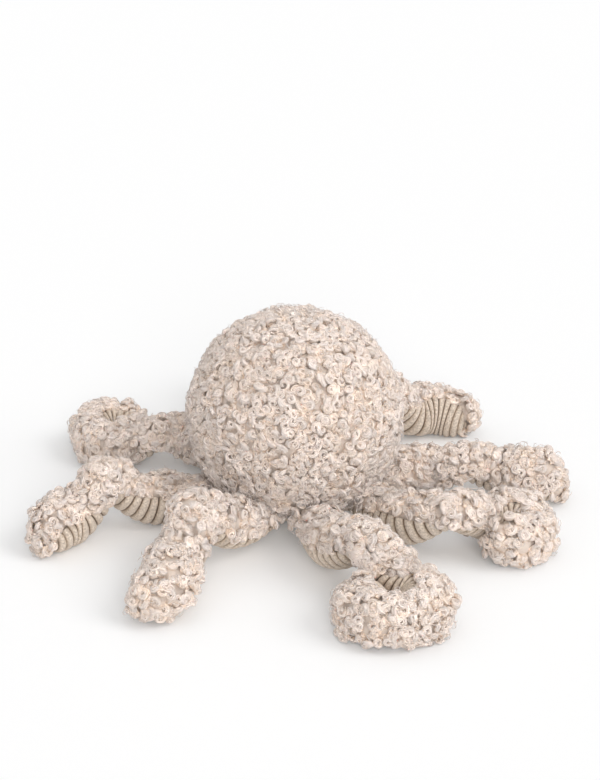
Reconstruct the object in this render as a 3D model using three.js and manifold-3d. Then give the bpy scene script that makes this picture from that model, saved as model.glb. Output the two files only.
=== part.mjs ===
// A plush squid: a stuffed ball of a head that sits on the floor, with eight stuffed arms sewn
// in round the seam of its base panel. Each arm is a tube of two strips, curly pile cloth on its
// back and wide corduroy on its belly. It rises from the seam to a folded elbow, comes down again
// and ends in a curl with the corduroy inside, or in a foot with the corduroy below. Millimetres,
// +Z up; the origin is on the floor under the middle of the head.
import * as THREE from 'three';
import { mergeVertices } from 'three/addons/utils/BufferGeometryUtils.js';
import Module from 'manifold-3d';

// Head
const HEAD_RADIUS = 65; // to the tips of the pile
const HEAD_FLAT_DEPTH = 3; // how much of the ball is pressed flat on the floor
const SEAM_HEIGHT = 15; // of the seam between the head panels and the base panel
const HEAD_PANELS = ['front', 'right', 'back', 'left'];
const FRONT_PANEL_HEADING = 270;

// Cloth and filling
const PILE_CLOTH = 4; // backing and curly pile together
const CORDUROY = 2.5;
const SEAM_GAP = 0.8; // between two cloths that are sewn together
const FILLING_GAP = 0.8; // between a cloth and the filling behind it
const PRESSED_CLOTH = 2; // thickness of either cloth where it is pressed on the floor

// Arm section: a rounded back and a flatter belly
const ROOT_RADIUS = 12;
const ELBOW_RADIUS = 13;
const TIP_RADIUS = 14;
const SWELL = 1.6; // how much fuller each stretch is half way along
const BELLY_DEPTH = 0.6; // depth of the belly side as a share of the back's, inside a bend
const BELLY_SWELL = 0.4; // what that share gains half way along an inner stretch
const CURL_HOLE = 2.7; // from a curl's centre to its belly, at least
const BACK_STRIP_ANGLE = 200; // of the section's full turn that is pile cloth
const LEVEL_SHARE = 0.45; // of an outer stretch's way down in which it comes level
const FLOOR_PRESS = 0.8; // how far a curl would dip below the floor if it weren't pressed flat

// Arm joints
const JOINT_GAP = 0.35;
const ROOT_LIFT = 15; // how far an arm swings up from rest at its root
const ROOT_DROOP = 40; // and down
const SEAT_GAP = 1.3; // from the elbow's ball to the corners of the rim that turns on it
const NECK_ANGLE = 48; // from an outer stretch's middle line to its rim on the elbow's ball
const NECK_LENGTH = 5; // from that ball to where the outer stretch has its full section
const ROOT_OVERLAP = 8; // how far an arm is drawn into the head before it is cut to fit it

// The eight arms. heading is the way an arm leaves the head; bow, elbow and landing are points of
// its middle line, as distance out from the seam, distance to the left and height. roll turns the
// belly of the inner stretch from below to the left. After landing the arm curls: tilt 0 curls
// under, 90 flat to the left, -90 flat to the right. A wide curl with a small sweep makes a foot.
const ARMS = [
  {
    name: 'right',
    heading: 18,
    bow: [32, -8, 14],
    elbow: [61, -19, 19],
    roll: 20,
    landing: [89, -33],
    curl: { radius: 40, sweep: 20, tilt: 0 },
  },
  {
    name: 'rear_right',
    heading: 58,
    bow: [42, 9, 18],
    elbow: [61, -3, 35],
    roll: -35,
    landing: [83, -15],
    curl: { radius: 26, sweep: 55, tilt: -75 },
  },
  {
    name: 'rear',
    heading: 98,
    bow: [38, 4, 14],
    elbow: [66, 2, 36],
    roll: 0,
    landing: [93, 0],
    curl: { radius: 12, sweep: 170, tilt: 15 },
  },
  {
    name: 'rear_left',
    heading: 140,
    bow: [38, -10, 14],
    elbow: [60, 6, 17],
    roll: -20,
    landing: [82, 28],
    curl: { radius: 13, sweep: 200, tilt: -90 },
  },
  {
    name: 'left',
    heading: 190,
    bow: [44, 8, 5],
    elbow: [72, 9, 33],
    roll: 45,
    landing: [94, 23],
    curl: { radius: 26, sweep: 22, tilt: 40 },
  },
  {
    name: 'front_left',
    heading: 245,
    bow: [22, -2, 13],
    elbow: [48, -20, 36],
    roll: -10,
    landing: [89, -14],
    curl: { radius: 40, sweep: 20, tilt: 0 },
  },
  {
    name: 'front_right',
    heading: 285,
    bow: [42, -7, 13],
    elbow: [68, 12, 34],
    roll: -8,
    landing: [95, 29],
    curl: { radius: 16, sweep: 230, tilt: -90 },
  },
  {
    name: 'right_front',
    heading: 331,
    bow: [42, -26, 16],
    elbow: [64, -15, 30],
    roll: -45,
    landing: [84, 15],
    curl: { radius: 10, sweep: 205, tilt: -80 },
  },
];

// Facets
const HEAD_SIDES = 24;
const HEAD_RINGS = 8;
const INNER_RINGS = 6;
const DESCENT_RINGS = 4;
const CURL_STEP = 40; // degrees of curl between two rings
const CAP_ANGLES = [35, 65]; // of the rings that round off an end
const BACK_POINTS = 6; // round the outside of the back strip
const BELLY_POINTS = 5; // round the outside of the belly strip
const LINING_POINTS = 4; // round the inside of either strip
const SEAT_RELIEF = 0.2; // how much further than the rim a lining stands off the elbow's ball
const LEAST_SHARE = 0.35; // of a section's radius that an inset leaves near a rounded end

const wasm = await Module();
wasm.setup();
const UP = new THREE.Vector3(0, 0, 1);
const radians = THREE.MathUtils.degToRad;

const stripSeam = radians(BACK_STRIP_ANGLE / 2);
const BACK_EDGES = [-stripSeam, stripSeam];
const BELLY_EDGES = [stripSeam, 2 * Math.PI - stripSeam];
const headCentre = HEAD_RADIUS - HEAD_FLAT_DEPTH;
const seamRadius = Math.sqrt(HEAD_RADIUS ** 2 - (headCentre - SEAM_HEIGHT) ** 2);

// Materials
function cloth(color) {
  return new THREE.MeshStandardMaterial({ color, roughness: 0.95, metalness: 0 });
}
const pileCloth = cloth(0xe0d2c8);
const corduroy = cloth(0xc9b5a1);
const fibreFilling = cloth(0xf4f2ee);

// Solids: geometry to manifold-3d and back
function solid(geometry) {
  const bare = geometry.clone();
  bare.deleteAttribute('normal');
  bare.deleteAttribute('uv');
  const merged = mergeVertices(bare, 1e-4);
  return new wasm.Manifold(
    new wasm.Mesh({
      numProp: 3,
      vertProperties: merged.attributes.position.array,
      triVerts: new Uint32Array(merged.index.array),
    }),
  );
}

function geometryOf(manifold) {
  const mesh = manifold.getMesh();
  const geometry = new THREE.BufferGeometry();
  geometry.setAttribute('position', new THREE.BufferAttribute(mesh.vertProperties, 3));
  geometry.setIndex(new THREE.BufferAttribute(mesh.triVerts, 1));
  return geometry;
}

function part(name, manifold, material) {
  const mesh = new THREE.Mesh(geometryOf(manifold), material);
  mesh.name = name;
  return mesh;
}

// A box from one corner to the opposite one
function block(low, high) {
  const size = new THREE.Vector3().subVectors(high, low);
  const middle = new THREE.Vector3().addVectors(low, high).multiplyScalar(0.5);
  return solid(new THREE.BoxGeometry(size.x, size.y, size.z).translate(middle.x, middle.y, middle.z));
}

// Head: a ball with a flat foot, as one turned outline
function ball(radius, footHeight) {
  const footAngle = Math.asin((footHeight - headCentre) / radius);
  const profile = [new THREE.Vector2(0, footHeight)];
  for (let i = 0; i <= HEAD_RINGS; i++) {
    const angle = THREE.MathUtils.lerp(footAngle, Math.PI / 2, i / HEAD_RINGS);
    const out = i === HEAD_RINGS ? 0 : radius * Math.cos(angle);
    profile.push(new THREE.Vector2(out, headCentre + radius * Math.sin(angle)));
  }
  return solid(new THREE.LatheGeometry(profile, HEAD_SIDES).rotateX(Math.PI / 2));
}

function makeHead() {
  const head = new THREE.Group();
  const reach = 2 * HEAD_RADIUS;
  const outside = ball(HEAD_RADIUS, 0);
  const pileShell = outside.subtract(ball(HEAD_RADIUS - PILE_CLOTH, CORDUROY));
  const aboveSeam = SEAM_HEIGHT + SEAM_GAP / 2;
  const quarter = block(
    new THREE.Vector3(SEAM_GAP / 2, SEAM_GAP / 2, aboveSeam),
    new THREE.Vector3(reach, reach, reach),
  );
  HEAD_PANELS.forEach((side, i) => {
    const turn = FRONT_PANEL_HEADING + ((i - 0.5) * 360) / HEAD_PANELS.length;
    head.add(part(`head_panel_${side}`, pileShell.intersect(quarter.rotate([0, 0, turn])), pileCloth));
  });

  const belowSeam = block(
    new THREE.Vector3(-reach, -reach, -reach),
    new THREE.Vector3(reach, reach, SEAM_HEIGHT - SEAM_GAP / 2),
  );
  const baseShell = outside.subtract(ball(HEAD_RADIUS - CORDUROY, CORDUROY));
  head.add(part('base_panel', baseShell.intersect(belowSeam), corduroy));

  const fillingRadius = HEAD_RADIUS - PILE_CLOTH - FILLING_GAP;
  head.add(part('head_filling', ball(fillingRadius, CORDUROY + FILLING_GAP), fibreFilling));
  return head;
}

// Arms: the middle line as stations. A station has its place, the directions of its back and of
// its side, its radius and how deep its belly is.
function station(place, along, belly, radius, bellyDepth = BELLY_DEPTH) {
  const back = belly.clone().addScaledVector(along, -belly.dot(along)).normalize().negate();
  const side = new THREE.Vector3().crossVectors(along, back);
  return { place, along, back, side, radius, bellyDepth };
}

function swollen(start, end, share) {
  return THREE.MathUtils.lerp(start, end, share) + SWELL * Math.sin(Math.PI * share);
}

// A rounded end: stations past the given one, ever smaller, on a dome of its radius
function capBeyond(last, dome) {
  return CAP_ANGLES.map((angle) => {
    const place = last.place.clone().addScaledVector(last.along, dome * Math.sin(radians(angle)));
    return { ...last, place, radius: last.radius * Math.cos(radians(angle)) };
  });
}

function seamPoint([out, left, up]) {
  return new THREE.Vector3(seamRadius + out, left, up);
}

// From the seam to the elbow, where the arm ends in a ball that the outer stretch turns on
function innerStations(arm) {
  const root = seamPoint([0, 0, SEAM_HEIGHT]);
  const line = new THREE.QuadraticBezierCurve3(root, seamPoint(arm.bow), seamPoint(arm.elbow));
  const stations = [];
  for (let i = 0; i <= INNER_RINGS; i++) {
    const share = i / INNER_RINGS;
    const along = line.getTangentAt(share);
    const halfway = Math.sin(Math.PI * share);
    const belly = UP.clone().negate().applyAxisAngle(along, radians(arm.roll) * halfway);
    const radius = swollen(ROOT_RADIUS, ELBOW_RADIUS, share);
    const depth = BELLY_DEPTH + BELLY_SWELL * halfway ** 2;
    stations.push(station(line.getPointAt(share), along, belly, radius, depth));
  }
  stations[INNER_RINGS].bellyDepth = 1;
  const first = stations[0];
  const hidden = first.place.clone().addScaledVector(first.along, -ROOT_OVERLAP);
  const elbow = stations[INNER_RINGS];
  return [{ ...first, place: hidden }, ...stations, ...capBeyond(elbow, ELBOW_RADIUS)];
}

// Where the curl lies so that its lowest side just presses on the floor
function landingPoint(arm) {
  const { radius, sweep, tilt } = arm.curl;
  const drop = radius * (1 - Math.cos(radians(Math.min(sweep, 180)))) * Math.cos(radians(tilt));
  return seamPoint([...arm.landing, drop + TIP_RADIUS - FLOOR_PRESS]);
}

function outerStations(arm) {
  const { radius: curlRadius, sweep, tilt } = arm.curl;
  const elbow = seamPoint(arm.elbow);
  const landing = landingPoint(arm);
  const way = landing.clone().sub(elbow).setZ(0);
  const control = landing.clone().addScaledVector(way, -LEVEL_SHARE);
  way.normalize();
  const left = new THREE.Vector3().crossVectors(UP, way);
  const inward = UP.clone()
    .multiplyScalar(-Math.cos(radians(tilt)))
    .addScaledVector(left, Math.sin(radians(tilt)));
  const centre = landing.clone().addScaledVector(inward, curlRadius);

  const descent = new THREE.QuadraticBezierCurve3(elbow, control, landing);
  const curlLength = curlRadius * radians(sweep);
  const length = descent.getLength() + curlLength;
  const curlDepth = (radius) => Math.min(1, (curlRadius - CURL_HOLE) / radius);
  const down = UP.clone().negate();
  const neck = station(elbow, descent.getTangentAt(0), down, ELBOW_RADIUS * Math.sin(radians(NECK_ANGLE)));
  const stations = [{ ...neck, seat: ELBOW_RADIUS + SEAT_GAP }];
  const fullShare = (ELBOW_RADIUS + NECK_LENGTH) / descent.getLength();
  for (let i = 0; i < DESCENT_RINGS; i++) {
    const share = THREE.MathUtils.lerp(fullShare, 1, i / DESCENT_RINGS);
    const belly = down.clone().lerp(inward, i / DESCENT_RINGS);
    const radius = swollen(ELBOW_RADIUS, TIP_RADIUS, (share * descent.getLength()) / length);
    const depth = THREE.MathUtils.lerp(BELLY_DEPTH, curlDepth(radius), (i / DESCENT_RINGS) ** 2);
    stations.push(station(descent.getPointAt(share), descent.getTangentAt(share), belly, radius, depth));
  }
  const steps = Math.round(sweep / CURL_STEP);
  for (let i = 0; i <= steps; i++) {
    const turned = radians((sweep * i) / steps);
    const out = way.clone().multiplyScalar(Math.sin(turned)).addScaledVector(inward, -Math.cos(turned));
    const along = way.clone().multiplyScalar(Math.cos(turned)).addScaledVector(inward, Math.sin(turned));
    const place = centre.clone().addScaledVector(out, curlRadius);
    const share = 1 - (curlLength * (1 - i / steps)) / length;
    const radius = swollen(ELBOW_RADIUS, TIP_RADIUS, share);
    stations.push(station(place, along, out.negate(), radius, curlDepth(radius)));
  }
  return [...stations, ...capBeyond(stations[stations.length - 1], TIP_RADIUS)];
}

// A point of a station's section. angle 0 is the middle of the back; inset is taken off all round.
// A section with a seat is moved along on to a ball of that radius. What would lie lower than the
// floor height is pressed flat on it.
function sectionPoint(at, angle, inset, floor) {
  const lessInset = (radius) => Math.max(radius - inset, radius * LEAST_SHARE);
  const depth = lessInset(at.radius * (Math.cos(angle) < 0 ? at.bellyDepth : 1));
  const point = at.place
    .clone()
    .addScaledVector(at.back, depth * Math.cos(angle))
    .addScaledVector(at.side, lessInset(at.radius) * Math.sin(angle));
  if (at.seat) {
    const ballRadius = at.seat + inset * SEAT_RELIEF;
    const off = point.distanceTo(at.place);
    point.addScaledVector(at.along, Math.sqrt(ballRadius ** 2 - off ** 2));
  }
  point.z = Math.max(point.z, floor);
  return point;
}

// A closed skin through rings of points, with flat ends. Each four-cornered facet is split along
// its shorter diagonal, so that two skins that face each other are split alike.
function loft(rings) {
  const count = rings[0].length;
  const points = rings.flat();
  const positions = points.flatMap((p) => [p.x, p.y, p.z]);
  const index = [];
  for (let i = 0; i + 1 < rings.length; i++) {
    for (let j = 0; j < count; j++) {
      const a = i * count + j;
      const b = i * count + ((j + 1) % count);
      const forward = points[a].distanceTo(points[b + count]);
      const backward = points[b].distanceTo(points[a + count]);
      if (forward < backward) {
        index.push(a, b, b + count, a, b + count, a + count);
      } else {
        index.push(a, b, a + count, b, b + count, a + count);
      }
    }
  }
  const flatEnd = (ring, offset, order) => {
    const normal = new THREE.Vector3();
    ring.forEach((p, j) => normal.add(new THREE.Vector3().crossVectors(p, ring[(j + 1) % count])));
    const across = new THREE.Vector3().subVectors(ring[1], ring[0]).normalize();
    const over = new THREE.Vector3().crossVectors(normal, across).normalize();
    const flat = ring.map((p) => new THREE.Vector2(p.dot(across), p.dot(over)));
    THREE.ShapeUtils.triangulateShape(flat, []).forEach((t) => {
      index.push(...order.map((k) => offset + t[k]));
    });
  };
  flatEnd(rings[0], 0, [0, 2, 1]);
  flatEnd(rings[rings.length - 1], (rings.length - 1) * count, [0, 1, 2]);
  const geometry = new THREE.BufferGeometry();
  geometry.setAttribute('position', new THREE.Float32BufferAttribute(positions, 3));
  geometry.setIndex(index);
  return solid(geometry);
}

// Angles spread evenly over one strip of a section, less half a seam gap at each edge
function stripAngles(at, [from, to], count) {
  const gap = SEAM_GAP / 2 / at.radius;
  return Array.from({ length: count }, (_, i) =>
    THREE.MathUtils.lerp(from + gap, to - gap, i / (count - 1)),
  );
}

// One strip of an arm's tube, between two angles of the section
function strip(stations, edges, points, thickness) {
  return loft(
    stations.map((at) => {
      const outside = stripAngles(at, edges, points);
      const inside = stripAngles(at, edges, LINING_POINTS).reverse();
      return [
        ...outside.map((angle) => sectionPoint(at, angle, 0, 0)),
        ...inside.map((angle) => sectionPoint(at, angle, thickness, PRESSED_CLOTH)),
      ];
    }),
  );
}

// The filling's sides face the sides of the two linings
function filling(stations) {
  const rings = stations.slice(0, 1 - CAP_ANGLES.length).map((at) => {
    const backInset = PILE_CLOTH + FILLING_GAP;
    const bellyInset = CORDUROY + FILLING_GAP;
    const floor = PRESSED_CLOTH + FILLING_GAP;
    const backAngles = stripAngles(at, BACK_EDGES, LINING_POINTS);
    const bellyAngles = stripAngles(at, BELLY_EDGES, LINING_POINTS).slice(1, -1);
    return [
      ...backAngles.map((angle) => sectionPoint(at, angle, backInset, floor)),
      ...bellyAngles.map((angle) => sectionPoint(at, angle, bellyInset, floor)),
    ];
  });
  return loft(rings);
}

// One stretch of an arm: its two strips and its filling
function stretch(stations) {
  const back = strip(stations, BACK_EDGES, BACK_POINTS, PILE_CLOTH);
  const belly = strip(stations, BELLY_EDGES, BELLY_POINTS, CORDUROY);
  return [
    { layer: 'back', form: back, material: pileCloth },
    { layer: 'belly', form: belly, material: corduroy },
    { layer: 'filling', form: filling(stations), material: fibreFilling },
  ];
}

// The room that a solid takes, seen from a piece that turns against it on a hinge to each angle
function sweptRoom(room, { place, axis }, angles) {
  const swung = angles.map((angle) => {
    const turn = new THREE.Matrix4()
      .makeTranslation(place)
      .multiply(new THREE.Matrix4().makeRotationAxis(axis, -radians(angle)))
      .multiply(new THREE.Matrix4().makeTranslation(place.clone().negate()));
    return room.transform(turn.elements);
  });
  return wasm.Manifold.union(swung);
}

// Root hinge: level, across the arm, at the base seam. Turning on it lifts the arm.
const rootHinge = {
  place: seamPoint([0, 0, SEAM_HEIGHT]),
  axis: new THREE.Vector3(0, -1, 0),
};

// Elbow hinge: level, across the way that the outer stretch leads. Turning on it lifts that stretch.
function elbowHinge(arm) {
  const place = seamPoint(arm.elbow);
  const way = landingPoint(arm).sub(place).setZ(0).normalize();
  return { place, axis: new THREE.Vector3(way.y, -way.x, 0) };
}

function makeArm(arm) {
  const group = new THREE.Group();
  group.rotation.z = radians(arm.heading);
  const headHere = ball(HEAD_RADIUS + JOINT_GAP, -JOINT_GAP).rotate([0, 0, -arm.heading]);
  const headRoom = sweptRoom(headHere, rootHinge, [-ROOT_DROOP, 0, ROOT_LIFT]);
  const inner = stretch(innerStations(arm));
  const outer = stretch(outerStations(arm));
  inner.forEach(({ layer, form, material }) => {
    group.add(part(`${arm.name}_arm_inner_${layer}`, form.subtract(headRoom), material));
  });
  outer.forEach(({ layer, form, material }) => {
    group.add(part(`${arm.name}_arm_outer_${layer}`, form, material));
  });
  group.userData.hinges = { root: rootHinge, elbow: elbowHinge(arm) };
  return group;
}

const squid = new THREE.Group();
squid.add(makeHead());
ARMS.forEach((arm) => squid.add(makeArm(arm)));

export default squid;
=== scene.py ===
"""Looks of the plush squid: curly pile cloth made of ringlets, and ribbed corduroy, over stuffed forms.

Sizes are in millimetres and angles in degrees, and repeat those of the CAD part, in the same frame.
"""

import math
from types import SimpleNamespace

import bpy
import numpy as np
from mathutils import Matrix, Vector


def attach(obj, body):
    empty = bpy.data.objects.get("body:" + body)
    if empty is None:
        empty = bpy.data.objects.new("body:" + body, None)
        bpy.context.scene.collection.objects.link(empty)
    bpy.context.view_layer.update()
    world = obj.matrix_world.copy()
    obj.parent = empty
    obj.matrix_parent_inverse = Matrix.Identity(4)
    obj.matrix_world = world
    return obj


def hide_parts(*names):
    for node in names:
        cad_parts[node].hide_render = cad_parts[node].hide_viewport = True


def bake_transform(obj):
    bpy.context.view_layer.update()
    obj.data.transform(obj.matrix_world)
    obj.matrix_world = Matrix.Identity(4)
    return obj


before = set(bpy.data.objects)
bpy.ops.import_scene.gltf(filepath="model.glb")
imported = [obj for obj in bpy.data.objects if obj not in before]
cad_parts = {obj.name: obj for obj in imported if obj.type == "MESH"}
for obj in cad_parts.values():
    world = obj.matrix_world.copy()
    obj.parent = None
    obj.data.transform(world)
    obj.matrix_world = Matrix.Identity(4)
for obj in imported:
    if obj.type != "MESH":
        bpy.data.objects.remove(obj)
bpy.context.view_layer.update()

MM = 0.001

# Head
HEAD_RADIUS = 65.0
HEAD_CENTRE = np.array([0.0, 0.0, 62.0])
SEAM_HEIGHT = 15.0
SEAM_RADIUS = math.sqrt(HEAD_RADIUS**2 - (HEAD_CENTRE[2] - SEAM_HEIGHT) ** 2)
HEAD_PANELS = ["front", "right", "back", "left"]
FRONT_PANEL_HEADING = 270.0

# Arm section
ROOT_RADIUS = 12.0
ELBOW_RADIUS = 13.0
TIP_RADIUS = 14.0
SWELL = 1.6
BELLY_DEPTH = 0.6
BELLY_SWELL = 0.4
CURL_HOLE = 2.7  # least room that is left in the middle of a curl
CREASE_DEPTH = 0.5  # depth of the belly side at the elbow's crease
CREASE_REACH = 7.0
SEAM_ANGLE = 100.0  # of the seams between back and belly, from the middle of the back
LEVEL_SHARE = 0.45
FLOOR_PRESS = 0.8
ROOT_OVERLAP = 8.0
ELBOW_ROUNDING = 4.5  # how far the bend at an elbow is smoothed along the arm
ELBOW_ROUNDING_REACH = 2.5 * ELBOW_ROUNDING  # distance from the elbow over which that fades out
TURN_DELAY = 0.35  # how late on its way down an arm starts to turn its belly into the curl
DOME_RISE = 86.0  # degrees of the dome at an arm's tip, which a small flat end closes

# The eight arms, as the CAD part has them. An arm leaves the base seam at its heading. Its bow and elbow
# are places out from the seam, to the left and up, and its landing is out and to the left. Its belly
# rolls between seam and elbow. The curl at its end has a radius, a sweep and a tilt from upright.
ARMS = [
    dict(name="right", heading=18, bow=(32, -8, 14), elbow=(61, -19, 19), roll=20, landing=(89, -33),
         curl=(40, 20, 0)),
    dict(name="rear_right", heading=58, bow=(42, 9, 18), elbow=(61, -3, 35), roll=-35, landing=(83, -15),
         curl=(26, 55, -75)),
    dict(name="rear", heading=98, bow=(38, 4, 14), elbow=(66, 2, 36), roll=0, landing=(93, 0),
         curl=(12, 170, 15)),
    dict(name="rear_left", heading=140, bow=(38, -10, 14), elbow=(60, 6, 17), roll=-20, landing=(82, 28),
         curl=(13, 200, -90)),
    dict(name="left", heading=190, bow=(44, 8, 5), elbow=(72, 9, 33), roll=45, landing=(94, 23),
         curl=(26, 22, 40)),
    dict(name="front_left", heading=245, bow=(22, -2, 13), elbow=(48, -20, 36), roll=-10, landing=(89, -14),
         curl=(40, 20, 0)),
    dict(name="front_right", heading=285, bow=(42, -7, 13), elbow=(68, 12, 34), roll=-8, landing=(95, 29),
         curl=(16, 230, -90)),
    dict(name="right_front", heading=331, bow=(42, -26, 16), elbow=(64, -15, 30), roll=-45, landing=(84, 15),
         curl=(10, 205, -80)),
]

# Where an arm is cut into pieces, at its root and at its elbow
ROOT_BEND = 20.0  # least length of the root piece past its overlap with the head
ELBOW_BEND = 11.0  # length on either side of the elbow
ELBOW_PIECE = 21.0  # length on either side of the elbow of the elbow piece

# Curly pile
PILE_SEED = 7
HEAD_BACKING_DROP = 4.0  # of the backing cloth below the ball's outline
ARM_BACKING_DROP = 1.8  # of the backing cloth below the CAD surface
HEAD_CURL_SPACING = 4.7
ARM_CURL_SPACING = 4.7
STRAND_TWIST = 1.4  # turn of the strands along a lock, in radians
STRAND_FRAYING = 0.15  # how much further apart strands are at a lock's end, as a share of its radius
STRAND_SIDES = 3
# Each curl is wound like a snail shell: its size, its turn in degrees, how far it may stand up from the
# cloth, the height of its middle above the backing, its pitch, the shares of its radius that it starts
# and ends at, and its thickness. It has strands, whose distance and thickness are shares of its own.
LOCKS = SimpleNamespace(
    radius=(2.1, 3.0), sweep=(380, 600), steepest=65, centre=(0.5, 3.1), pitch=(0.4, 2.0),
    wound=(1.15, 0.15), thickness=(1.35, 1.8), strands=4, apart=0.48, strand=0.54, rings=14,
)
WISPS = SimpleNamespace(
    radius=(1.9, 3.2), sweep=(160, 320), steepest=90, centre=(2.2, 4.2), pitch=(0.5, 2.0),
    wound=(1.1, 0.6), thickness=(0.2, 0.32), strands=1, apart=0.0, strand=1.0, rings=8,
)
LYING_FLAT = 1.6  # the higher this power, the more of the curls lie flat
START_SPREAD = 1.2  # how far the start of a curl turns either way, in radians
CLIMB_START = 0.4  # share of a curl's length at which it is level with its middle
SLIM_SHARE = 0.45  # thickness of a lock without its bulge, as a share
BULGE = (0.2, 0.88)  # part of a half wave that the bulge follows along a lock
END_THINNING = 0.5  # share of its thickness that a strand keeps at its end
ROOT_JITTER = 0.25  # unevenness of the curls' places, as a share of their spacing
PILE_HEIGHT = 3.8  # height at which a curl reaches its top colour; below it, painted light makes it lighter and warmer
CLUMP_SPACING = 13.0
CLUMP_DROP = 0.6  # how much lower the curls between two clumps stand
FLOOR_CLEARANCE = 0.2
PRESSED_HEIGHT = 3.0  # height below which the floor presses the pile thin

# Cloth of the arms, blown up by the filling in a simulation
CLOTH_ROWS = 8  # of an arm's rows to one row of the simulated cloth
CLOTH_COLUMNS = 20
CLOTH_SCALE = 20.0  # the simulation runs on cloth this many times larger
CLOTH_INSET = 0.8  # how much smaller the cloth starts
CLOTH_SLACK = 0.08  # spare length of the cloth
CLOTH_PRESSURE = 4.0
CLOTH_MASS = 0.1
CLOTH_FRAMES = 20
CLOTH_SWELL = (-1.6, 1.2)  # how far the cloth may move in and out

# Corduroy, and the uneven surface of the arms
WALE_PITCH = 5.2
WALE_HEIGHT = 2.0
ROW_STEP = 0.52
BELLY_COLUMNS = 22
BACK_COLUMNS = 26
SEAM_TUCK = 0.9  # how deep the cloth is drawn in along a seam
SEAM_TUCK_WIDTH = 2.0
LUMP_HEIGHT = 0.5  # unevenness of the filling
LUMP_WAVES = (7.3, 11.9, 4.9)  # length along the arm of a radian of its waves
TUFT_HEIGHT = 1.6  # unevenness of the pile on the arms
TUFT_WAVES = (2.9, 4.3, 6.1)
TIP_FLUFF = 2.6  # how much fuller the pile is at an arm's tip
TIP_FLUFF_LENGTH = 30.0
TIP_PILE = 15.0  # length at an arm's tip over which the pile closes round it
BELLY_END = 170.0  # angle of the seams at which the belly ends there
WALE_EDGE = 75.0  # angle between faces from which an edge of the corduroy is sharp

DOWN = np.array([0.0, 0.0, -1.0])


def unit(vectors):
    return vectors / np.linalg.norm(vectors, axis=-1, keepdims=True)


def smoothstep(share):
    share = np.clip(share, 0, 1)
    return share * share * (3 - 2 * share)


def turned(vector, axes, angles):
    """The vector turned about each axis by each angle in radians."""
    cosine, sine = np.cos(angles)[:, None], np.sin(angles)[:, None]
    dots = (axes @ vector)[:, None]
    return vector * cosine + np.cross(axes, vector) * sine + axes * dots * (1 - cosine)


def run_of(places):
    """Distance along a line of places."""
    steps = np.linalg.norm(np.diff(places, axis=0), axis=1)
    return np.concatenate([[0.0], np.cumsum(steps)])


def bezier(start, control, end, count):
    share = np.linspace(0, 1, count)[:, None]
    return (1 - share) ** 2 * start + 2 * share * (1 - share) * control + share**2 * end


def swollen(start, end, share):
    return start + (end - start) * share + SWELL * np.sin(math.pi * share)


def seam_point(out, left, up):
    return np.array([SEAM_RADIUS + out, left, up])


# The arms' middle lines
LINE_POINTS = 240


def inner_line(arm):
    """From the seam to the elbow: places, belly directions, radii and belly depths."""
    seam = seam_point(0, 0, SEAM_HEIGHT)
    places = bezier(seam, seam_point(*arm["bow"]), seam_point(*arm["elbow"]), LINE_POINTS)
    along = unit(np.gradient(places, axis=0))
    share = run_of(places) / run_of(places)[-1]
    halfway = np.sin(math.pi * share)
    belly = turned(DOWN, along, math.radians(arm["roll"]) * halfway)
    radius = swollen(ROOT_RADIUS, ELBOW_RADIUS, share)
    depth = BELLY_DEPTH + BELLY_SWELL * halfway**2
    return places, belly, radius, depth


def outer_line(arm):
    """From the elbow down to the floor and round the curl."""
    curl_radius = arm["curl"][0]
    sweep, tilt = np.radians(arm["curl"][1:])
    elbow = seam_point(*arm["elbow"])
    drop = curl_radius * (1 - math.cos(min(sweep, math.pi))) * math.cos(tilt)
    landing = seam_point(*arm["landing"], drop + TIP_RADIUS - FLOOR_PRESS)
    level = (landing - elbow) * [1, 1, 0]
    way = unit(level)
    inward = math.cos(tilt) * DOWN + math.sin(tilt) * np.cross(-DOWN, way)

    descent = bezier(elbow, landing - LEVEL_SHARE * level, landing, LINE_POINTS)
    descent_run = run_of(descent)
    descent_share = descent_run / descent_run[-1]
    mix = np.clip(descent_share * (1 + TURN_DELAY) - TURN_DELAY, 0, 1)[:, None]
    descent_belly = DOWN * (1 - mix) + inward * mix

    angle = np.linspace(0, sweep, LINE_POINTS)[1:, None]
    out = way * np.sin(angle) - inward * np.cos(angle)
    places = np.concatenate([descent, landing + curl_radius * (inward + out)])
    belly = np.concatenate([descent_belly, -out])
    share = run_of(places) / run_of(places)[-1]
    radius = swollen(ELBOW_RADIUS, TIP_RADIUS, share)
    curl_depth = np.minimum(1.0, (curl_radius - CURL_HOLE) / radius)
    descended = np.clip(run_of(places) / descent_run[-1], 0, 1)
    depth = BELLY_DEPTH + (curl_depth - BELLY_DEPTH) * descended**2
    return places, belly, radius, depth


def soften(values, weight, spread):
    """Values smoothed along their rows, where the weight says so."""
    reach = int(3 * spread / ROW_STEP)
    kernel = np.exp(-0.5 * (np.arange(-reach, reach + 1) * ROW_STEP / spread) ** 2)
    kernel /= kernel.sum()
    padded = np.concatenate([np.repeat(values[:1], reach, 0), values, np.repeat(values[-1:], reach, 0)])
    smooth = np.stack([np.convolve(column, kernel, "valid") for column in padded.T], axis=1)
    return values + weight[:, None] * (smooth - values)


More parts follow.
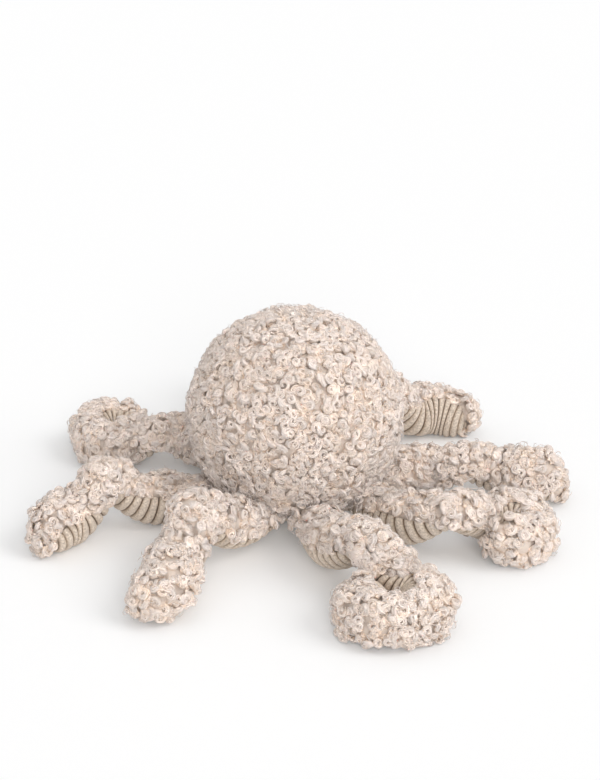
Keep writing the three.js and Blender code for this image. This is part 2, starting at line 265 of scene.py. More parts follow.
def arm_tube(arm):
    """An arm's middle line in even rows, from inside the head to the pole of its rounded tip."""
    inner, outer = inner_line(arm), outer_line(arm)
    start = inner[0][0] - ROOT_OVERLAP * unit(inner[0][1] - inner[0][0])
    places = np.concatenate([[start], inner[0], outer[0][1:]])
    others = [np.concatenate([a[:1], a, b[1:]]) for a, b in zip(inner[1:], outer[1:])]
    raw_run = run_of(places)
    elbow_run = raw_run[len(inner[0])]
    run = np.arange(0, raw_run[-1], ROW_STEP)

    def even(values):
        return np.stack([np.interp(run, raw_run, column) for column in values.T], axis=1)

    near_elbow = np.exp(-(((run - elbow_run) / ELBOW_ROUNDING_REACH) ** 2))
    place = soften(even(places), near_elbow, ELBOW_ROUNDING)
    belly = soften(even(others[0]), near_elbow, ELBOW_ROUNDING)
    radius = np.interp(run, raw_run, others[1])
    depth = np.interp(run, raw_run, others[2])
    crease = np.exp(-(((run - elbow_run) / CREASE_REACH) ** 2))
    depth += crease * (CREASE_DEPTH - depth)

    along = unit(np.gradient(place, axis=0))
    back = -unit(belly - (belly * along).sum(1)[:, None] * along)

    # The dome of the tip
    dome_rows = int(radius[-1] * math.pi / 2 / ROW_STEP)
    rise = np.linspace(0, math.radians(DOME_RISE), dome_rows + 1)[1:]
    domes = np.concatenate([np.zeros(len(run)), rise])

    def with_dome(values):
        return np.concatenate([values, np.repeat(values[-1:], dome_rows, 0)])

    end_radius = radius[-1]
    tube = SimpleNamespace(
        run=np.concatenate([run, run[-1] + end_radius * rise]),
        place=with_dome(place),
        along=with_dome(along),
        back=with_dome(back),
        radius=with_dome(radius) * np.cos(domes),
        depth=with_dome(depth),
        dome=domes,
        elbow_run=elbow_run,
        heading=math.radians(arm["heading"]),
    )
    tube.place[len(run):] += end_radius * np.sin(rise)[:, None] * along[-1]
    tube.side = np.cross(tube.along, tube.back)
    to_pole = tube.run[-1] - tube.run
    closing = smoothstep(1 - to_pole / TIP_PILE)
    tube.seam = np.radians(SEAM_ANGLE + (180 - SEAM_ANGLE) * closing)
    return tube


def around(tube, rows, angles, lift):
    """Points on the arm at these rows and angles, lifted off the CAD surface, in the part's frame."""
    cosine, sine = np.cos(angles)[..., None], np.sin(angles)[..., None]
    shape = (len(rows),) + (1,) * (np.ndim(angles) - 1)
    radius = tube.radius[rows].reshape(shape)
    depth = np.where(cosine[..., 0] < 0, tube.depth[rows].reshape(shape), 1.0)
    expand = shape + (3,)
    back, side = tube.back[rows].reshape(expand), tube.side[rows].reshape(expand)
    place, along = tube.place[rows].reshape(expand), tube.along[rows].reshape(expand)
    dome = tube.dome[rows].reshape(shape)
    lift = lift + swell(tube, rows, angles)
    level = lift * np.cos(dome)
    points = place + along * (lift * np.sin(dome))[..., None]
    points = points + back * cosine * (radius * depth + level)[..., None]
    points = points + side * sine * (radius + level)[..., None]
    points[..., 2] = np.maximum(points[..., 2], FLOOR_CLEARANCE)
    return turn_flat(points, tube.heading)


def swell(tube, rows, angles):
    """How far the filling moves the arm's cloth out, from the simulated points by a smooth spline."""
    row = np.asarray(rows).reshape((len(rows),) + (1,) * (np.ndim(angles) - 1)) / CLOTH_ROWS
    column = angles / (2 * math.pi) * CLOTH_COLUMNS
    first_row, first_column = np.floor(row).astype(int), np.floor(column).astype(int)
    total = np.zeros(np.broadcast(row, column).shape)
    for step, weight in enumerate(spline_weights(row - first_row), -1):
        for side_step, side_weight in enumerate(spline_weights(column - first_column), -1):
            near = np.clip(first_row + step, 0, len(tube.swell) - 1)
            total += weight * side_weight * tube.swell[near, (first_column + side_step) % CLOTH_COLUMNS]
    return total


def spline_weights(share):
    """Weights of four even points for a place between the middle two."""
    rest = 1 - share
    return [
        rest**3 / 6,
        (3 * share**3 - 6 * share**2 + 4) / 6,
        (3 * rest**3 - 6 * rest**2 + 4) / 6,
        share**3 / 6,
    ]


def turn_flat(points, angle):
    """Points or directions turned about the vertical."""
    cosine, sine = math.cos(angle), math.sin(angle)
    turn = np.array([[cosine, -sine, 0], [sine, cosine, 0], [0, 0, 1]])
    return points @ turn.T


def outward(tube, rows, angles):
    """Directions square to the arm's surface."""
    cosine, sine = np.cos(angles)[:, None], np.sin(angles)[:, None]
    depth = np.where(cosine < 0, tube.depth[rows][:, None], 1.0)
    level = unit(tube.back[rows] * cosine / depth + tube.side[rows] * sine)
    dome = tube.dome[rows][:, None]
    return turn_flat(level * np.cos(dome) + tube.along[rows] * np.sin(dome), tube.heading)


# Meshes. A skin has points, a shade for each point from 0 in the depth of the cloth to 1 at its top, a tint
# for each point that differs from strand to strand, and groups of faces with their places on the bake's map.
MAP_NAME = "OFBake"
MIDDLE_TINT = 0.5
# A strand has a square of the map: its side takes these shares of it, and its ends are discs beside that
STRAND_MAP = (0.8, 0.92)
END_MAP_RADIUS = 0.05
END_MAP_PLACES = [(0.87, 0.25), (0.87, 0.7)]


def on_map(places, low, high):
    low, high = np.array(low), np.array(high)
    return low + places * (high - low)


def tube_faces(rows, columns):
    """Corners of the faces round a closed tube and of its two ends, and the first ones' rows and columns."""
    row, column = np.meshgrid(np.arange(rows - 1), np.arange(columns), indexing="ij")
    row, column = row.ravel(), column.ravel()
    corner_rows = np.stack([row, row, row + 1, row + 1], axis=1)
    corner_columns = np.stack([column, column + 1, column + 1, column], axis=1)
    quads = corner_rows * columns + corner_columns % columns
    ends = np.stack([np.arange(columns)[::-1], (rows - 1) * columns + np.arange(columns)])
    return quads, ends, np.stack([corner_rows, corner_columns], axis=2)


def loft(rings, shades, low, high):
    """A closed skin through closed rings, shape (rows, columns, 3), with flat ends."""
    rows, columns = rings.shape[:2]
    quads, ends, grid = tube_faces(rows, columns)
    angle = np.linspace(0, 2 * math.pi, columns, endpoint=False)
    disc = 0.5 + 0.5 * np.stack([np.cos(angle), np.sin(angle)], axis=1)
    end_size = np.array([0.5 / rows, 0.5])
    last_row = (rows - 1) / rows
    end_places = np.stack([[last_row, 0.0] + disc * end_size, [last_row, 0.5] + disc * end_size])
    faces = [(quads, on_map(grid / [rows, columns], low, high)), (ends, on_map(end_places, low, high))]
    tints = np.full(rows * columns, MIDDLE_TINT)
    return SimpleNamespace(points=rings.reshape(-1, 3), shades=shades.ravel(), tints=tints, faces=faces)


def pressed(heights):
    """Heights of pile that the floor presses thin."""
    depth = PRESSED_HEIGHT - FLOOR_CLEARANCE
    low = FLOOR_CLEARANCE + depth * np.exp(np.minimum(heights - PRESSED_HEIGHT, 0) / depth)
    return np.where(heights < PRESSED_HEIGHT, low, heights)


def ringlets(kind, roots, normals, drops, low, high):
    """Curls that stand on the backing at the roots, each of a few strands, which are closed tubes."""
    count = len(roots)

    def pick(limits):
        return rng.uniform(*limits, count)[:, None]

    spin = pick((0, 2 * math.pi))
    tilt = np.radians(kind.steepest * pick((0, 1)) ** LYING_FLAT)
    helper = np.where(np.abs(normals[:, 2:]) < 0.9, [[0.0, 0.0, 1.0]], [[1.0, 0.0, 0.0]])
    first = unit(np.cross(normals, helper))
    tangent = first * np.cos(spin) + np.cross(normals, first) * np.sin(spin)
    axis = normals * np.cos(tilt) + tangent * np.sin(tilt)
    flat = np.cross(normals, tangent)
    rising = normals * np.sin(tilt) - tangent * np.cos(tilt)
    centre = roots + normals * (pick(kind.centre) - drops[:, None])

    # The middle line of each lock
    share = np.linspace(0, 1, kind.rings)[None, :]
    hand = rng.choice([-1.0, 1.0], count)[:, None]
    start = -math.pi / 2 + pick((-START_SPREAD, START_SPREAD))
    angle = start + hand * np.radians(pick(kind.sweep)) * share
    ring_radius = pick(kind.radius) * (kind.wound[0] + (kind.wound[1] - kind.wound[0]) * share)
    climb = pick(kind.pitch) * (share - CLIMB_START)
    path = (
        centre[:, None]
        + flat[:, None] * (ring_radius * np.cos(angle))[..., None]
        + rising[:, None] * (ring_radius * np.sin(angle))[..., None]
        + axis[:, None] * climb[..., None]
    )
    forward = unit(np.gradient(path, axis=1))
    over = unit(np.cross(forward, axis[:, None]))
    up = np.cross(over, forward)

    # Strands wound round it: arrays over locks, strands, rings and sides
    bulge = np.sin(math.pi * (BULGE[0] + (BULGE[1] - BULGE[0]) * share))
    lock = pick(kind.thickness) * (SLIM_SHARE + (1 - SLIM_SHARE) * bulge)
    phase = (pick((0, 2 * math.pi)) + STRAND_TWIST * share)[:, None]
    phase = phase + (2 * math.pi / kind.strands * np.arange(kind.strands))[None, :, None]
    apart = (lock * (kind.apart + STRAND_FRAYING * share**2))[:, None, :, None]
    middles = path[:, None] + apart * (
        up[:, None] * np.cos(phase)[..., None] + over[:, None] * np.sin(phase)[..., None]
    )
    turn = np.linspace(0, 2 * math.pi, STRAND_SIDES, endpoint=False)
    section = up[:, :, None] * np.cos(turn)[:, None] + over[:, :, None] * np.sin(turn)[:, None]
    thickness = kind.strand * lock
    thickness[:, -1] *= END_THINNING
    points = middles[:, :, :, None] + (thickness[:, :, None, None] * section)[:, None]
    root = roots[:, None, None, None]
    height = ((points - root) * normals[:, None, None, None]).sum(-1)
    # Shade by height above the root: the pile's colours paint light into the lower, deeper parts
    shades = np.clip(height / PILE_HEIGHT, 0, 1)
    points[..., 2] = pressed(points[..., 2])
    tints = np.broadcast_to(rng.uniform(0, 1, (count, kind.strands, 1, 1)), shades.shape)

    # Faces of one strand, repeated
    quads, ends, grid = tube_faces(kind.rings, STRAND_SIDES)
    quad_places = grid / [kind.rings - 1, STRAND_SIDES] * np.array(STRAND_MAP)
    disc = END_MAP_RADIUS * np.stack([np.cos(turn), np.sin(turn)], axis=1)
    end_places = np.stack([disc + place for place in END_MAP_PLACES])

    tubes = count * kind.strands
    across = math.ceil(math.sqrt(tubes))
    cell = np.stack([np.arange(tubes) % across, np.arange(tubes) // across], axis=1)[:, None, None]
    offset = (np.arange(tubes) * kind.rings * STRAND_SIDES)[:, None, None]
    faces = []
    for corners, places in ((quads, quad_places), (ends, end_places)):
        size = corners.shape[1]
        mapped = on_map((cell + places[None]) / across, low, high)
        faces.append(((corners[None] + offset).reshape(-1, size), mapped.reshape(-1, size, 2)))
    points = points.reshape(-1, 3)
    return SimpleNamespace(points=points, shades=shades.ravel(), tints=tints.ravel(), faces=faces)


def mesh_object(name, skins, material):
    """One object of several closed skins."""
    mesh = bpy.data.meshes.new(name)
    points = np.concatenate([skin.points for skin in skins]) * MM
    shades = np.concatenate([skin.shades for skin in skins])
    tints = np.concatenate([skin.tints for skin in skins])
    starts = np.cumsum([0] + [len(skin.points) for skin in skins])
    corners, places, sizes = [], [], []
    for skin, start in zip(skins, starts):
        for face_corners, face_places in skin.faces:
            corners.append((face_corners + start).ravel())
            places.append(face_places.reshape(-1, 2))
            sizes.append(np.full(len(face_corners), face_corners.shape[1]))
    corners, places, sizes = np.concatenate(corners), np.concatenate(places), np.concatenate(sizes)
    mesh.vertices.add(len(points))
    mesh.vertices.foreach_set("co", points.astype(np.float32).ravel())
    mesh.loops.add(len(corners))
    mesh.loops.foreach_set("vertex_index", corners.astype(np.int32))
    mesh.polygons.add(len(sizes))
    mesh.polygons.foreach_set("loop_start", (np.cumsum(sizes) - sizes).astype(np.int32))
    mesh.polygons.foreach_set("use_smooth", np.ones(len(sizes), bool))
    mesh.update(calc_edges=True)
    mesh.uv_layers.new(name=MAP_NAME).data.foreach_set("uv", places.astype(np.float32).ravel())
    mesh.attributes.new("shade", "FLOAT", "POINT").data.foreach_set("value", shades.astype(np.float32))
    mesh.attributes.new("tint", "FLOAT", "POINT").data.foreach_set("value", tints.astype(np.float32))
    mesh.materials.append(material)
    piece = bpy.data.objects.new(name, mesh)
    bpy.context.scene.collection.objects.link(piece)
    return piece


# Materials
def principled(name):
    material = bpy.data.materials.new(name)
    material.use_nodes = True
    nodes = material.node_tree.nodes
    return material, nodes, material.node_tree.links, nodes["Principled BSDF"]


def painted_shading_ramp(nodes, links, stops):
    """A colour that follows the shade of the mesh's points, with light and shade painted in by depth."""
    ramp = nodes.new("ShaderNodeValToRGB")
    while len(ramp.color_ramp.elements) < len(stops):
        ramp.color_ramp.elements.new(0.5)
    for element, (position, colour) in zip(ramp.color_ramp.elements, stops):
        element.position = position
        element.color = (*colour, 1)
    links.new(attribute(nodes, "shade"), ramp.inputs["Fac"])
    return ramp.outputs["Color"]


def noise(nodes, links, scale, detail):
    """A noise on the object's own coordinates, in cycles to a metre."""
    where = nodes.new("ShaderNodeTexCoord")
    texture = nodes.new("ShaderNodeTexNoise")
    texture.inputs["Scale"].default_value = scale
    texture.inputs["Detail"].default_value = detail
    links.new(where.outputs["Object"], texture.inputs["Vector"])
    return texture.outputs["Fac"]


def attribute(nodes, name):
    node = nodes.new("ShaderNodeAttribute")
    node.attribute_name = name
    return node.outputs["Fac"]


def tinted(nodes, links, colour, factor, low, high):
    """The colour times a tint between low and high, as the factor goes."""
    tint = nodes.new("ShaderNodeMix")
    tint.data_type = "RGBA"
    tint.inputs["A"].default_value = (*low, 1)
    tint.inputs["B"].default_value = (*high, 1)
    links.new(factor, tint.inputs["Factor"])
    product = nodes.new("ShaderNodeMix")
    product.data_type = "RGBA"
    product.blend_type = "MULTIPLY"
    product.inputs["Factor"].default_value = 1.0
    links.new(colour, product.inputs["A"])
    links.new(tint.outputs["Result"], product.inputs["B"])
    return product.outputs["Result"]


def bumped(nodes, links, shader, height, strength, distance):
    bump = nodes.new("ShaderNodeBump")
    bump.inputs["Strength"].default_value = strength
    bump.inputs["Distance"].default_value = distance
    links.new(height, bump.inputs["Height"])
    links.new(bump.outputs["Normal"], shader.inputs["Normal"])


def cloth_shader(shader, sheen):
    shader.inputs["Roughness"].default_value = 0.95
    shader.inputs["Specular IOR Level"].default_value = 0.15
    shader.inputs["Sheen Weight"].default_value = sheen
    shader.inputs["Sheen Roughness"].default_value = 0.5
    shader.inputs["Sheen Tint"].default_value = (1.0, 0.93, 0.87, 1)


# Colours from the depth of the cloth to its top, with light and shade painted in by depth
# Painted light: the pile's depths are lighter and warmer than its tops, standing in for light scattered into
# the hollows
PILE_COLOURS = [(0.0, (0.85, 0.72, 0.61)), (0.45, (0.79, 0.70, 0.63)), (1.0, (0.735, 0.67, 0.63))]
# Painted shade: the corduroy is near black in the grooves between the wales and lightens up to the ridges
CORDUROY_COLOURS = [
    (0.0, (0.12, 0.075, 0.045)),
    (0.4, (0.36, 0.27, 0.195)),
    (0.66, (0.68, 0.565, 0.455)),
    (1.0, (0.80, 0.69, 0.58)),
]


def pile_material():
    material, nodes, links, shader = principled("curly_pile")
    colour = painted_shading_ramp(nodes, links, PILE_COLOURS)
    patches = noise(nodes, links, scale=45, detail=3)
    colour = tinted(nodes, links, colour, patches, (0.93, 0.91, 0.89), (1.05, 1.05, 1.06))
    colour = tinted(nodes, links, colour, attribute(nodes, "tint"), (0.94, 0.93, 0.92), (1.05, 1.05, 1.06))
    links.new(colour, shader.inputs["Base Color"])
    fibres = noise(nodes, links, scale=2600, detail=2)
    bumped(nodes, links, shader, fibres, strength=0.2, distance=0.0002)
    cloth_shader(shader, sheen=0.2)
    shader.subsurface_method = "BURLEY"
    shader.inputs["Subsurface Weight"].default_value = 0.75
    shader.inputs["Subsurface Radius"].default_value = (1.0, 0.9, 0.8)
    shader.inputs["Subsurface Scale"].default_value = 0.0018
    return material


def corduroy_material():
    material, nodes, links, shader = principled("corduroy")
    colour = painted_shading_ramp(nodes, links, CORDUROY_COLOURS)
    patches = noise(nodes, links, scale=60, detail=3)
    colour = tinted(nodes, links, colour, patches, (0.90, 0.89, 0.88), (1.07, 1.07, 1.08))
    speckle = noise(nodes, links, scale=850, detail=1)
    colour = tinted(nodes, links, colour, speckle, (0.45, 0.41, 0.37), (1.50, 1.53, 1.56))
    links.new(colour, shader.inputs["Base Color"])
    fibres = noise(nodes, links, scale=2200, detail=3)
    bumped(nodes, links, shader, fibres, strength=0.6, distance=0.0004)
    cloth_shader(shader, sheen=0.35)
    return material


pile = pile_material()
corduroy = corduroy_material()
rng = np.random.default_rng(PILE_SEED)

# Shares of the bake's map that the backing cloth and the wisps take; the locks take the rest
BACKING_SHARE = 0.1
WISP_SHARE = 0.15
# Shade of the backing cloth, in the part of the pile's colours that is painted lighter as light in the
# depths
BACKING_SHADE = 0.3


def clump_drops(roots, spacing):
    """How much lower each curl stands for being between two clumps."""
    count = max(1, int(len(roots) * (spacing / CLUMP_SPACING) ** 2))
    middles = roots[rng.choice(len(roots), count, replace=False)]
    distances = np.linalg.norm(roots[:, None] - middles[None], axis=2)
    return CLUMP_DROP * smoothstep(distances.min(1) / CLUMP_SPACING)


def curls_on(roots, normals, spacing):
    """The locks and the wisps of a piece of pile cloth."""
    drops = clump_drops(roots, spacing)
    return [
        ringlets(LOCKS, roots, normals, drops, (0, BACKING_SHARE), (1, 1 - WISP_SHARE)),
        ringlets(WISPS, roots, normals, drops, (0, 1 - WISP_SHARE), (1, 1)),
    ]


# Head
HEAD_ROWS = 40
PANEL_COLUMNS = 24
HEAD_TOP = 89.0  # degrees up to which a panel goes, where a small flat end closes it


def head_panel(index, side):
    """A quarter of the head: a wedge of backing cloth with its curls."""
    first = math.radians(FRONT_PANEL_HEADING + (index - 0.5) * 90)
    radius = HEAD_RADIUS - HEAD_BACKING_DROP
    low = math.asin((SEAM_HEIGHT - HEAD_CENTRE[2]) / HEAD_RADIUS)
    rise = np.linspace(low, math.radians(HEAD_TOP), HEAD_ROWS)
    heading = first + np.linspace(0, math.pi / 2, PANEL_COLUMNS)
    out = radius * np.cos(rise)[:, None, None] * np.stack([np.cos(heading), np.sin(heading)], axis=1)
    up = np.broadcast_to((radius * np.sin(rise))[:, None, None], (HEAD_ROWS, PANEL_COLUMNS, 1))
    outside = HEAD_CENTRE + np.concatenate([out, up], axis=2)
    middle = HEAD_CENTRE + radius * np.sin(rise)[:, None, None] * np.array([0.0, 0.0, 1.0])
    rings = np.concatenate([outside, middle], axis=1)
    backing = loft(rings, np.full(rings.shape[:2], BACKING_SHADE), (0, 0), (1, BACKING_SHARE))

    # Even spots over the whole ball, of which this panel keeps its own
    count = int(4 * math.pi * HEAD_RADIUS**2 / HEAD_CURL_SPACING**2)
    spot = np.arange(count) + 0.5
    height = 1 - 2 * spot / count
    golden = math.pi * (3 - math.sqrt(5)) * spot
    level = np.sqrt(1 - height**2)
    normals = np.stack([level * np.cos(golden), level * np.sin(golden), height], axis=1)
    normals = unit(normals + rng.normal(0, ROOT_JITTER * HEAD_CURL_SPACING / HEAD_RADIUS, normals.shape))
    turn = (np.arctan2(normals[:, 1], normals[:, 0]) - first) % (2 * math.pi)
    mine = (turn < math.pi / 2) & (normals[:, 2] > math.sin(low))
    normals = normals[mine]
    curls = curls_on(HEAD_CENTRE + radius * normals, normals, HEAD_CURL_SPACING)
    piece = mesh_object(f"head_{side}_pile", [backing, *curls], pile)
    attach(piece, "head")
    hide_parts(f"head_panel_{side}")
    return piece


panels = [head_panel(index, side) for index, side in enumerate(HEAD_PANELS)]
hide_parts("head_filling")

# Base panel: the ribbed cloth under the head
BASE_COLUMNS = 220
BASE_FLAT_ROWS = 60
BASE_RIM_ROWS = 24
BASE_START = 0.5  # radius of its innermost ring


def wale_profile(distance):
    """Height of the ribs, from 0 in a groove to 1 on a ridge, which is also the shade by which the grooves
    are painted dark.
    """
    across = 2 * np.mod(distance / WALE_PITCH, 1.0) - 1
    return np.sqrt(1 - across**2)


def base_panel():
    low = math.asin(-HEAD_CENTRE[2] / HEAD_RADIUS)
    high = math.asin((SEAM_HEIGHT - HEAD_CENTRE[2]) / HEAD_RADIUS)
    rise = np.linspace(low, high, BASE_RIM_ROWS)
    foot = HEAD_RADIUS * math.cos(low)
    out = np.concatenate([np.linspace(BASE_START, foot, BASE_FLAT_ROWS), HEAD_RADIUS * np.cos(rise[1:])])
    up = np.concatenate([np.zeros(BASE_FLAT_ROWS), HEAD_CENTRE[2] + HEAD_RADIUS * np.sin(rise[1:])])
    heading = np.linspace(0, 2 * math.pi, BASE_COLUMNS, endpoint=False)
    across = out[:, None] * np.cos(heading)
    wale = wale_profile(across)
    inset = WALE_HEIGHT * (1 - wale)
    normal_out = np.concatenate([np.zeros(BASE_FLAT_ROWS), np.cos(rise[1:])])[:, None]
    normal_up = np.concatenate([-np.ones(BASE_FLAT_ROWS), np.sin(rise[1:])])[:, None]
    reach = out[:, None] - inset * normal_out
    height = up[:, None] - inset * normal_up
    points = np.stack([reach * np.cos(heading), reach * np.sin(heading), height], axis=2)
    # The wales' height is the shade, so the grooves get painted shade
    skin = loft(points, wale, (0, 0), (1, 1))
    piece = mesh_object("base_corduroy", [skin], corduroy)
    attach(piece, "head")
    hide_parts("base_panel")


base_panel()


# Arms
def fill_arms(tubes):
    """Blows up the cloth of all the arms in one simulation, and keeps how far it moved."""
    skins, ways, pinned, starts = [], [], [], [0]
    angles = np.linspace(0, 2 * math.pi, CLOTH_COLUMNS, endpoint=False)
    for tube in tubes:
        rows = np.arange(0, len(tube.run), CLOTH_ROWS)
        tube.swell = np.zeros((len(rows), CLOTH_COLUMNS))
        every_row = np.repeat(rows, CLOTH_COLUMNS)
        every_angle = np.tile(angles, len(rows))
        points = around(tube, every_row, every_angle, np.full(len(every_row), -CLOTH_INSET))
        rings = CLOTH_SCALE * points.reshape(len(rows), CLOTH_COLUMNS, 3)
        skins.append(loft(rings, np.zeros(rings.shape[:2]), (0, 0), (1, 1)))
        ways.append(outward(tube, every_row, every_angle))
        pinned.extend(starts[-1] + np.flatnonzero(tube.run[every_row] < ROOT_OVERLAP))
        starts.append(starts[-1] + len(every_row))
    cloth = mesh_object("arm_cloth", skins, pile)
    cloth.vertex_groups.new(name="sewn").add([int(point) for point in pinned], 1.0, "REPLACE")
    before = cloth_points(cloth)
    settings = cloth.modifiers.new("filling", "CLOTH").settings
    settings.vertex_group_mass = "sewn"
    settings.mass = CLOTH_MASS
    settings.use_pressure = True
    settings.uniform_pressure_force = CLOTH_PRESSURE
    settings.shrink_min = -CLOTH_SLACK
    settings.effector_weights.gravity = 0
    for frame_number in range(1, CLOTH_FRAMES + 1):
        bpy.context.scene.frame_set(frame_number)
    moved = cloth_points(cloth.evaluated_get(bpy.context.evaluated_depsgraph_get())) - before
    bpy.data.objects.remove(cloth)
    bpy.context.scene.frame_set(1)
    for tube, way, start in zip(tubes, ways, starts):
        rings = moved[start:start + len(way)].reshape(*tube.swell.shape, 3) / (CLOTH_SCALE * MM)
        rings = rings - rings.mean(axis=1, keepdims=True)
        out = (rings * way.reshape(rings.shape)).sum(2) - CLOTH_INSET
        tube.swell = np.clip(out, *CLOTH_SWELL)


def cloth_points(piece):
    places = np.empty(3 * len(piece.data.vertices), np.float32)
    piece.data.vertices.foreach_get("co", places)
    return places.reshape(-1, 3)


def lumps(run, angles, phases):
    """Unevenness of the filling."""
    first, second, third = LUMP_WAVES
    wave = np.sin(run / first + 2 * angles + phases[0]) + np.sin(run / second - angles + phases[1])
    return LUMP_HEIGHT * (wave + np.sin(run / third + 3 * angles + phases[2])) / 2


def tufts(tube, rows, angles, phases):
    """Height of the tufts of an arm's pile, which is fuller at the tip."""
    run = tube.run[rows].reshape((len(rows),) + (1,) * (np.ndim(angles) - 1))
    first, second, third = TUFT_WAVES
    wave = np.sin(run / first + 2 * angles + phases[0]) * np.sin(run / second - 3 * angles + phases[1])
    wave = wave + np.sin(run / third + angles + phases[2])
    full = smoothstep(1 - (tube.run[-1] - tube.radius.max() - run) / TIP_FLUFF_LENGTH)
    return TUFT_HEIGHT * wave + TIP_FLUFF * full


def tuck(tube, rows, angles):
    """How much the cloth is drawn in near the seams."""
    seam = tube.seam[rows][:, None]
    off = np.minimum(np.abs(angles - seam), np.abs(angles - (2 * math.pi - seam)))
    off = np.minimum(off, np.abs(angles + seam)) * tube.radius[rows][:, None]
    return SEAM_TUCK * np.exp(-((off / SEAM_TUCK_WIDTH) ** 2))


def back_skin(tube, rows, phases):
    """Backing cloth of the pile, whose tufts die out towards the seams."""
    share = np.linspace(-1, 1, BACK_COLUMNS)
    angles = tube.seam[rows][:, None] * share
    edge = 1 - share**4
    lift = edge * tufts(tube, rows, angles, phases) - ARM_BACKING_DROP - tuck(tube, rows, angles)
    rings = around(tube, rows, angles, lift)
    return loft(rings, np.full(angles.shape, BACKING_SHADE), (0, 0), (1, BACKING_SHARE))


def belly_skin(tube, rows, phases):
    """Corduroy with its wales across the arm."""
    share = np.linspace(0, 1, BELLY_COLUMNS)
    seam = tube.seam[rows][:, None]
    angles = seam + (2 * math.pi - 2 * seam) * share
    wale = wale_profile(tube.run[rows])[:, None]
    lift = lumps(tube.run[rows][:, None], angles, phases) - WALE_HEIGHT * (1 - wale)
    rings = around(tube, rows, angles, lift - tuck(tube, rows, angles))
    # The wales' height is the shade, so the grooves get painted shade
    return loft(rings, np.broadcast_to(wale, angles.shape), (0, 0), (1, 1))


def arm_curls(tube, low_run, high_run, phases):
    """Curls on the back of an arm between two distances along it."""
    everywhere = np.arange(len(tube.run))
    spine = run_of(around(tube, everywhere, np.zeros(len(everywhere)), np.zeros(len(everywhere))))
    low_spine, high_spine = np.interp([low_run, high_run], tube.run, spine)
    rows, angles = [], []
    for run in np.arange(low_spine + ARM_CURL_SPACING / 2, high_spine, ARM_CURL_SPACING):
        row = min(int(np.searchsorted(spine, run)), len(spine) - 1)
        half = tube.seam[row]
        count = max(1, round(2 * half * (tube.radius[row] + TIP_FLUFF) / ARM_CURL_SPACING))
        spot = (np.arange(count) + rng.uniform(0.2, 0.8)) / count
        rows.extend([row] * count)
        angles.extend(half * (2 * spot - 1))
    rows, angles = np.array(rows), np.array(angles)
    jitter = ROOT_JITTER * ARM_CURL_SPACING
    rows = rows + np.rint(rng.normal(0, jitter / ROW_STEP, len(rows))).astype(int)
    rows = np.clip(rows, 0, len(tube.run) - 1)
    angles = angles + rng.normal(0, jitter, len(rows)) / (tube.radius[rows] + TIP_FLUFF)
    roots = around(tube, rows, angles, tufts(tube, rows, angles, phases) - ARM_BACKING_DROP)
    normals = outward(tube, rows, angles)
    outside = np.linalg.norm(roots - HEAD_CENTRE, axis=1) > HEAD_RADIUS - HEAD_BACKING_DROP
    roots, normals = roots[outside], normals[outside]
    return curls_on(roots, normals, ARM_CURL_SPACING)


def make_arm(arm, tube):
    """The pile and the corduroy of an arm, each in three pieces: root, elbow and tip."""
    name = arm["name"]
    inner, outer = f"{name}_arm_inner", f"{name}_arm_outer"
    phases = rng.uniform(0, 2 * math.pi, 3)
    root_end = ROOT_OVERLAP + ROOT_BEND
    elbow_start = max(tube.elbow_run - ELBOW_PIECE, root_end)
    elbow_end = tube.elbow_run + ELBOW_PIECE
    root_bend = ("head", inner, ROOT_OVERLAP, root_end)
    elbow_bend = (inner, outer, tube.elbow_run - ELBOW_BEND, tube.elbow_run + ELBOW_BEND)
    stretches = [
        ("root", 0, elbow_start, root_bend, inner),
        ("elbow", elbow_start, elbow_end, elbow_bend, None),
        ("tip", elbow_end, tube.run[-1], None, outer),
    ]
    for part, low, high, bend, stands_for in stretches:
        first, last = np.searchsorted(tube.run, [low, high])
        rows = np.arange(first, min(last + 1, len(tube.run)))
        back_rows = rows[::2] if (len(rows) % 2) else np.append(rows[::2], rows[-1])
        back_skins = [back_skin(tube, back_rows, phases), *arm_curls(tube, low, high, phases)]
        back = mesh_object(f"{name}_arm_{part}_pile", back_skins, pile)
        belly_rows = rows[tube.seam[rows] < math.radians(BELLY_END)]
        belly = mesh_object(f"{name}_arm_{part}_corduroy", [belly_skin(tube, belly_rows, phases)], corduroy)
        belly.data.set_sharp_from_angle(angle=math.radians(WALE_EDGE))
        for piece, slot in ((back, "pile_cloth"), (belly, "corduroy")):
            if bend:
                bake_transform(piece)
            else:
                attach(piece, outer)
        if stands_for:
            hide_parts(f"{stands_for}_back", f"{stands_for}_filling")
            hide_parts(f"{stands_for}_belly")


tubes = [arm_tube(arm) for arm in ARMS]
fill_arms(tubes)
for arm, tube in zip(ARMS, tubes):
    make_arm(arm, tube)

# Camera: the photograph's view, from the front and above
IMAGE_LONG_SIDE = 780
FOCAL_PIXELS = 1836
CAMERA_DISTANCE = 1100
CAMERA_ELEVATION = math.radians(25)
AIM_RIGHT, AIM_UP = 5.0, 24  # pixels from the ball's middle to the picture's
SENSOR_WIDTH = 36

camera = bpy.data.objects.new("camera", bpy.data.cameras.new("camera"))
bpy.context.scene.collection.objects.link(camera)
forward = np.array([0, math.cos(CAMERA_ELEVATION), -math.sin(CAMERA_ELEVATION)])
upward = np.array([0, math.sin(CAMERA_ELEVATION), math.cos(CAMERA_ELEVATION)])
aim = forward + upward * AIM_UP / FOCAL_PIXELS + np.array([AIM_RIGHT / FOCAL_PIXELS, 0, 0])
camera.location = (HEAD_CENTRE - forward * CAMERA_DISTANCE) * MM
camera.rotation_mode = "QUATERNION"
camera.rotation_quaternion = Vector(aim).to_track_quat("-Z", "Y")
camera.data.sensor_width = SENSOR_WIDTH
camera.data.lens = SENSOR_WIDTH * FOCAL_PIXELS / IMAGE_LONG_SIDE
bpy.context.scene.camera = camera

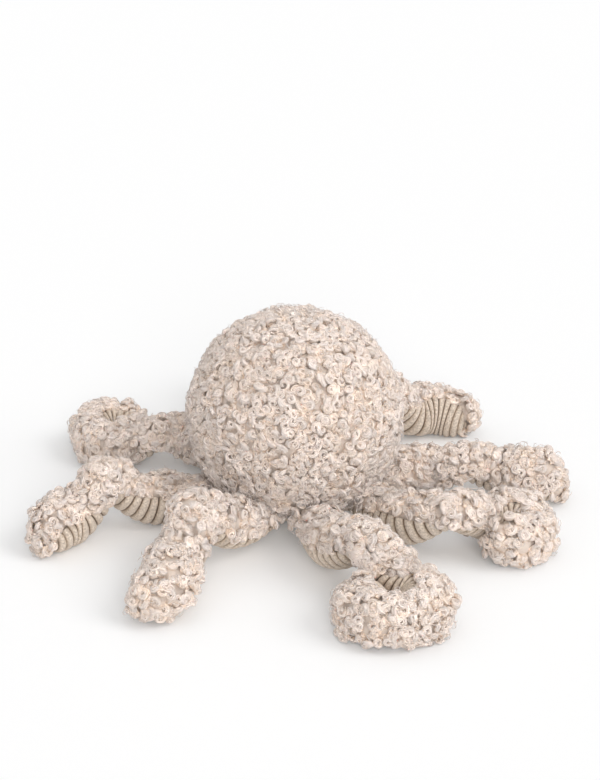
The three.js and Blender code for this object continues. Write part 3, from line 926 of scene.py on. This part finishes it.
# Floor, light and background
FLOOR_SIZE = 12.0  # metres
FLOOR_GREY = 0.95
FLOOR_LIFT = 0.12  # light that the camera sees on the floor besides the lamps', for a white background
SKY_LIGHT = (0.12, 0.80)  # strength at the horizon and overhead
KEY_LIGHT = dict(source=(1.0, -0.45, 0.95), strength=0.92, spread=36)
FILL_LIGHT = dict(source=(0.1, -0.9, 0.45), strength=1.1, spread=30)


def seen_directly(nodes, links):
    """1 for rays that come from the camera or by a mirror or a glass, else 0."""
    path = nodes.new("ShaderNodeLightPath")
    total = path.outputs["Is Camera Ray"]
    for other in ("Is Glossy Ray", "Is Transmission Ray"):
        larger = nodes.new("ShaderNodeMath")
        larger.operation = "MAXIMUM"
        links.new(total, larger.inputs[0])
        links.new(path.outputs[other], larger.inputs[1])
        total = larger.outputs[0]
    return total


def make_floor():
    bpy.ops.mesh.primitive_plane_add(size=FLOOR_SIZE)
    floor = bpy.context.object
    floor.name = "floor"
    material, nodes, links, shader = principled("floor")
    shader.inputs["Base Color"].default_value = (FLOOR_GREY, FLOOR_GREY, FLOOR_GREY, 1)
    shader.inputs["Roughness"].default_value = 1.0
    shader.inputs["Specular IOR Level"].default_value = 0.0
    shader.inputs["Emission Color"].default_value = (1, 1, 1, 1)
    lift = nodes.new("ShaderNodeMath")
    lift.operation = "MULTIPLY"
    lift.inputs[1].default_value = FLOOR_LIFT
    links.new(seen_directly(nodes, links), lift.inputs[0])
    links.new(lift.outputs[0], shader.inputs["Emission Strength"])
    floor.data.materials.append(material)


def make_world():
    world = bpy.data.worlds.new("studio")
    world.use_nodes = True
    nodes, links = world.node_tree.nodes, world.node_tree.links
    background = nodes["Background"]
    background.inputs["Color"].default_value = (1, 1, 1, 1)
    direction = nodes.new("ShaderNodeTexCoord")
    parts = nodes.new("ShaderNodeSeparateXYZ")
    links.new(direction.outputs["Generated"], parts.inputs["Vector"])
    sky = nodes.new("ShaderNodeMapRange")
    sky.inputs["To Min"].default_value, sky.inputs["To Max"].default_value = SKY_LIGHT
    links.new(parts.outputs["Z"], sky.inputs["Value"])
    strength = nodes.new("ShaderNodeMix")
    strength.inputs["B"].default_value = 1.0
    links.new(sky.outputs["Result"], strength.inputs["A"])
    links.new(seen_directly(nodes, links), strength.inputs["Factor"])
    links.new(strength.outputs["Result"], background.inputs["Strength"])
    bpy.context.scene.world = world


def make_light(name, source, strength, spread):
    """A broad soft light from far away."""
    light = bpy.data.lights.new(name, "SUN")
    light.energy = strength
    light.angle = math.radians(spread)
    lamp = bpy.data.objects.new(name, light)
    lamp.rotation_mode = "QUATERNION"
    lamp.rotation_quaternion = (-Vector(source)).to_track_quat("-Z", "Y")
    bpy.context.scene.collection.objects.link(lamp)


make_floor()
make_world()
make_light("key", **KEY_LIGHT)
make_light("fill", **FILL_LIGHT)
bpy.context.scene.view_settings.view_transform = "Standard"
